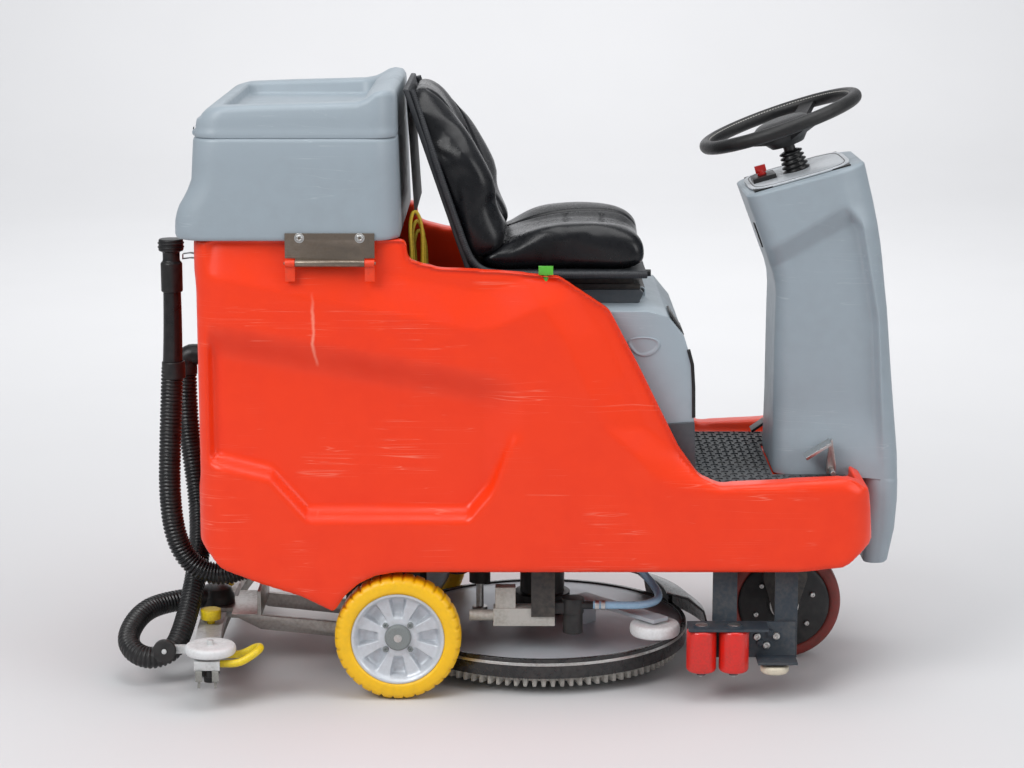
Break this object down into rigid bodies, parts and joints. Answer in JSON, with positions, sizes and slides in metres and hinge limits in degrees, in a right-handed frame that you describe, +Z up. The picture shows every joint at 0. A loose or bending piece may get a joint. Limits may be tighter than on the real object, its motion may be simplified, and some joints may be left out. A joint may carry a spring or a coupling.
{
  "type": "ride-on scrubber dryer",
  "caption": "Ride-on floor scrubber dryer with steered drive wheel, lifting disc brush, swinging squeegee, tilting recovery tank and sliding seat.",
  "frame": {"origin": "on the floor under the middle of the machine's bounding box", "axes": "+X is the way the machine drives, +Z is up, -Y is the machine's right side"},
  "size_m": [1.5803, 0.8, 1.2053],
  "materials": {
    "tub_plastic": "glossy rotomoulded, scuffed",
    "frame_steel": "black powder coat",
    "mat_rubber": "embossed tread",
    "grey_plastic": "fine grain",
    "battery_case": "moulded",
    "cable": "insulated wire",
    "black_plastic": "moulded",
    "red_plastic": "moulded",
    "black_rubber": "moulded rubber",
    "grip": "soft grip",
    "steel": "brushed",
    "yellow_tyre": "cast polyurethane",
    "wheel_grey": "painted",
    "drive_tyre": "cast polyurethane",
    "cover_steel": "satin",
    "bristle": "nylon tufts",
    "bracket_blue": "powder coat",
    "white_plastic": "roller",
    "clear_hose": "clear braided",
    "valve_brass": "cast",
    "vinyl": "seat vinyl",
    "green_plastic": "moulded",
    "arm_steel": "stainless",
    "casting": "cast",
    "blade_rubber": "wiper rubber",
    "yellow_plastic": "moulded"
  },
  "bodies": {
    "machine": {"body_shell": "tub_plastic", "chassis_frame": "frame_steel", "footwell_mat": "mat_rubber", "battery_cover": "grey_plastic", "batteries": "battery_case", "wiring": "cable", "column_cover": "grey_plastic", "dash_panel": "black_plastic", "column_bellows": "black_rubber", "rear_axle": "steel", "lift_actuator": "frame_steel", "solenoid_valve": "valve_brass", "water_filter": "black_plastic", "water_hose": "clear_hose", "side_bracket": "bracket_blue", "tank_hinge_leaf": "steel", "drain_hose": "black_rubber", "hose_fittings": "black_rubber", "suction_hose": "black_rubber"},
    "recovery_tank": {"recovery_tank": "grey_plastic", "tank_hinge_plate": "steel", "suction_motor": "black_plastic"},
    "tank_lid": {"tank_lid": "grey_plastic"},
    "seat_base": {"seat_base": "frame_steel"},
    "seat": {"seat_pan": "black_plastic", "seat_cushion": "vinyl", "seat_back_cushion": "vinyl"},
    "seat_lever": {"seat_lever": "black_plastic"},
    "hood_latch": {"hood_latch": "green_plastic"},
    "steering": {"steering_rim": "grip", "steering_hub": "black_plastic"},
    "horn_button": {"horn_button": "black_rubber"},
    "key_switch": {"key_switch": "red_plastic"},
    "accelerator": {"accelerator_pedal": "steel"},
    "brake": {"brake_pedal": "black_rubber"},
    "drive_fork": {"drive_fork": "frame_steel"},
    "drive_wheel": {"front_tyre": "drive_tyre", "front_wheel_hub": "frame_steel"},
    "rear_wheel_right": {"rear_tyre_right": "yellow_tyre", "rear_rim_right": "wheel_grey"},
    "rear_wheel_left": {"rear_tyre_left": "yellow_tyre", "rear_rim_left": "wheel_grey"},
    "deck": {"deck_cover": "cover_steel", "deck_skirt": "black_rubber", "brush_motor": "frame_steel", "deck_guides": "steel"},
    "brush": {"brush_disc": "black_plastic", "brush_bristles": "bristle"},
    "deck_roller": {"deck_roller": "white_plastic"},
    "side_roller_rear": {"side_roller_rear": "red_plastic"},
    "side_roller_front": {"side_roller_front": "red_plastic"},
    "bracket_disc": {"bracket_disc": "white_plastic"},
    "squeegee_arm": {"squeegee_arm": "arm_steel", "suction_port": "black_rubber"},
    "squeegee": {"squeegee_body": "casting", "squeegee_blades": "blade_rubber", "squeegee_handles": "yellow_plastic"},
    "squeegee_roller_right": {"squeegee_roller_right": "white_plastic"},
    "squeegee_roller_left": {"squeegee_roller_left": "white_plastic"},
    "squeegee_wheels": {"squeegee_wheels": "black_rubber"}
  },
  "joints": [
    {"name": "tank_tilt", "type": "hinge", "parent": "machine", "child": "recovery_tank", "pos_m": [-0.3825, -0.333, 0.875], "axis": [1, 0, 0], "range_deg": [0, 60]},
    {"name": "lid_hinge", "type": "hinge", "parent": "recovery_tank", "child": "tank_lid", "pos_m": [-0.653, 0, 1.1076], "axis": [0, -1, 0], "range_deg": [0, 80]},
    {"name": "seat_tilt", "type": "hinge", "parent": "machine", "child": "seat_base", "pos_m": [0.226, 0, 0.781], "axis": [0, 1, 0], "range_deg": [0, 60]},
    {"name": "seat_slide", "type": "slide", "parent": "seat_base", "child": "seat", "axis": [1, 0, 0], "range_m": [0, 0.12]},
    {"name": "seat_release", "type": "hinge", "parent": "seat_base", "child": "seat_lever", "pos_m": [0.15, -0.0675, 0.816], "axis": [0, 1, 0], "range_deg": [0, 4], "stiffness_Nm_per_rad": 4, "springref_deg": -5.73},
    {"name": "latch_turn", "type": "hinge", "parent": "machine", "child": "hood_latch", "pos_m": [0.03, -0.2975, 0.85], "axis": [0, 0, 1], "range_deg": [0, 90]},
    {"name": "drive_steer", "type": "hinge", "parent": "machine", "child": "drive_fork", "pos_m": [0.528, 0, 0.12], "axis": [0, 0, 1], "range_deg": [-67.5, 67.5]},
    {"name": "steering_turn", "type": "hinge", "parent": "machine", "child": "steering", "pos_m": [0.505, 0, 1.115], "axis": [-0.3355, 0, 0.9421], "range_deg": [-270, 270]},
    {"name": "horn_press", "type": "slide", "parent": "steering", "child": "horn_button", "axis": [0.3355, 0, -0.9421], "range_m": [0, 0.003], "stiffness_N_per_m": 900, "springref_m": -0.002},
    {"name": "key_turn", "type": "hinge", "parent": "machine", "child": "key_switch", "pos_m": [0.47416, 0, 0.99216], "axis": [-0.2742, 0, 0.9617], "range_deg": [0, 90]},
    {"name": "accelerator_press", "type": "hinge", "parent": "machine", "child": "accelerator", "pos_m": [0.604, -0.17, 0.432], "axis": [0, -1, 0], "range_deg": [0, 12], "stiffness_Nm_per_rad": 12, "springref_deg": -8.59},
    {"name": "brake_press", "type": "hinge", "parent": "machine", "child": "brake", "pos_m": [0.51, 0.17, 0.43], "axis": [0, -1, 0], "range_deg": [0, 12], "stiffness_Nm_per_rad": 12, "springref_deg": -8.59},
    {"name": "drive_wheel_spin", "type": "hinge", "parent": "drive_fork", "child": "drive_wheel", "pos_m": [0.528, 0, 0.12], "axis": [0, 1, 0], "continuous": true},
    {"name": "rear_wheel_right_spin", "type": "hinge", "parent": "machine", "child": "rear_wheel_right", "pos_m": [-0.26, -0.29, 0.125], "axis": [0, 1, 0], "continuous": true},
    {"name": "rear_wheel_left_spin", "type": "hinge", "parent": "machine", "child": "rear_wheel_left", "pos_m": [-0.26, 0.29, 0.125], "axis": [0, 1, 0], "continuous": true},
    {"name": "deck_lower", "type": "slide", "parent": "machine", "child": "deck", "axis": [0, 0, -1], "range_m": [0, 0.014]},
    {"name": "brush_spin", "type": "hinge", "parent": "deck", "child": "brush", "pos_m": [0.028, 0, 0.05], "axis": [0, 0, 1], "continuous": true},
    {"name": "deck_roller_spin", "type": "hinge", "parent": "deck", "child": "deck_roller", "pos_m": [0.24975, -0.24976, 0.128], "axis": [0, 0, 1], "continuous": true},
    {"name": "side_roller_rear_spin", "type": "hinge", "parent": "machine", "child": "side_roller_rear", "pos_m": [0.338, -0.316, 0.104], "axis": [0, 0, 1], "continuous": true},
    {"name": "side_roller_front_spin", "type": "hinge", "parent": "machine", "child": "side_roller_front", "pos_m": [0.402, -0.316, 0.104], "axis": [0, 0, 1], "continuous": true},
    {"name": "bracket_disc_spin", "type": "hinge", "parent": "machine", "child": "bracket_disc", "pos_m": [0.483, -0.316, 0.066], "axis": [0, 0, 1], "continuous": true},
    {"name": "squeegee_lower", "type": "hinge", "parent": "machine", "child": "squeegee_arm", "pos_m": [-0.355, 0, 0.072], "axis": [0, -1, 0], "range_deg": [0, 8], "deforming": ["suction_hose"]},
    {"name": "squeegee_swing", "type": "hinge", "parent": "squeegee_arm", "child": "squeegee", "pos_m": [-0.652, 0, 0.1], "axis": [0, 0, 1], "range_deg": [-12, 12]},
    {"name": "squeegee_roller_right_spin", "type": "hinge", "parent": "squeegee", "child": "squeegee_roller_right", "pos_m": [-0.6248, -0.35, 0.116], "axis": [0, 0, 1], "continuous": true},
    {"name": "squeegee_roller_left_spin", "type": "hinge", "parent": "squeegee", "child": "squeegee_roller_left", "pos_m": [-0.6248, 0.35, 0.116], "axis": [0, 0, 1], "continuous": true},
    {"name": "squeegee_wheel_spin", "type": "hinge", "parent": "squeegee", "child": "squeegee_wheels", "pos_m": [-0.723, 0, 0.094], "axis": [0, 1, 0], "continuous": true}
  ],
  "couplings": [
    {"joint": "steering_turn", "follows": "drive_steer", "ratio": 4}
  ]
}
